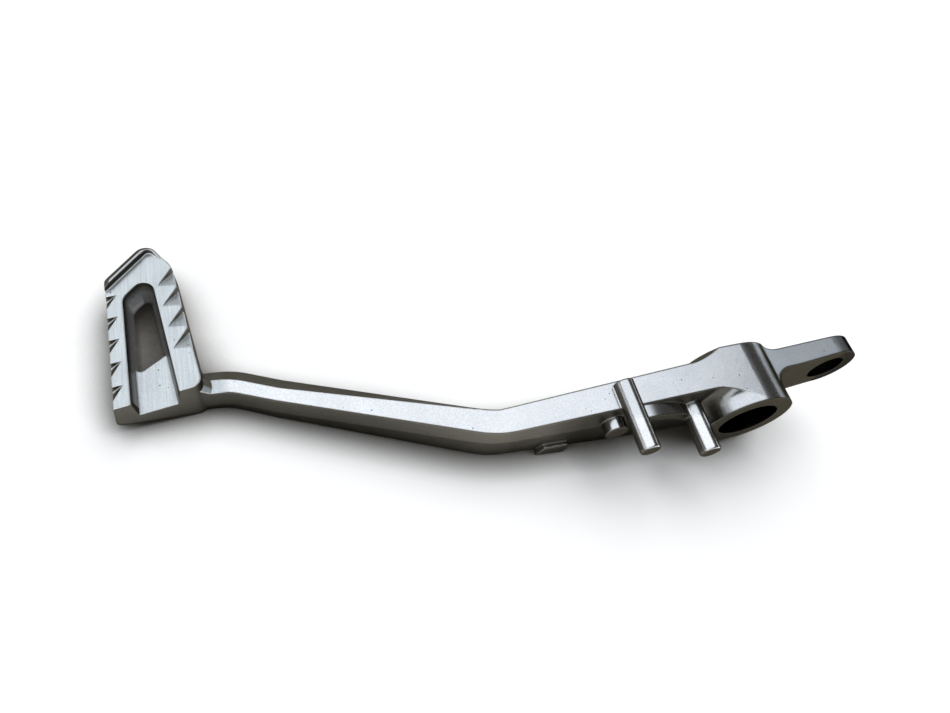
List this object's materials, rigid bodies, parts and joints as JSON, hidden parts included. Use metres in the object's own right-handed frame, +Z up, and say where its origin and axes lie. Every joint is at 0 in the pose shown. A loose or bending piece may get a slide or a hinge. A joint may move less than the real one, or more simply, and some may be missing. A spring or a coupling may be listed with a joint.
{
  "type": "rear brake pedal",
  "caption": "Cast motorcycle rear brake pedal: toothed, windowed tread pad on a cranked arm with a bored pivot boss, spring pins and a rear pushrod lug.",
  "frame": {"origin": "on the pivot axis, in the mouth of the pivot bore at the inner end of the boss", "axes": "+X back to the rear lug, +Y outboard along the pivot axis, +Z up, square to the tread"},
  "size_m": [0.2403, 0.0925, 0.032],
  "materials": {
    "cast_aluminium": "bead-blasted casting with linished top faces"
  },
  "bodies": {
    "root": {"pedal_casting": "cast_aluminium"}
  },
  "joints": []
}
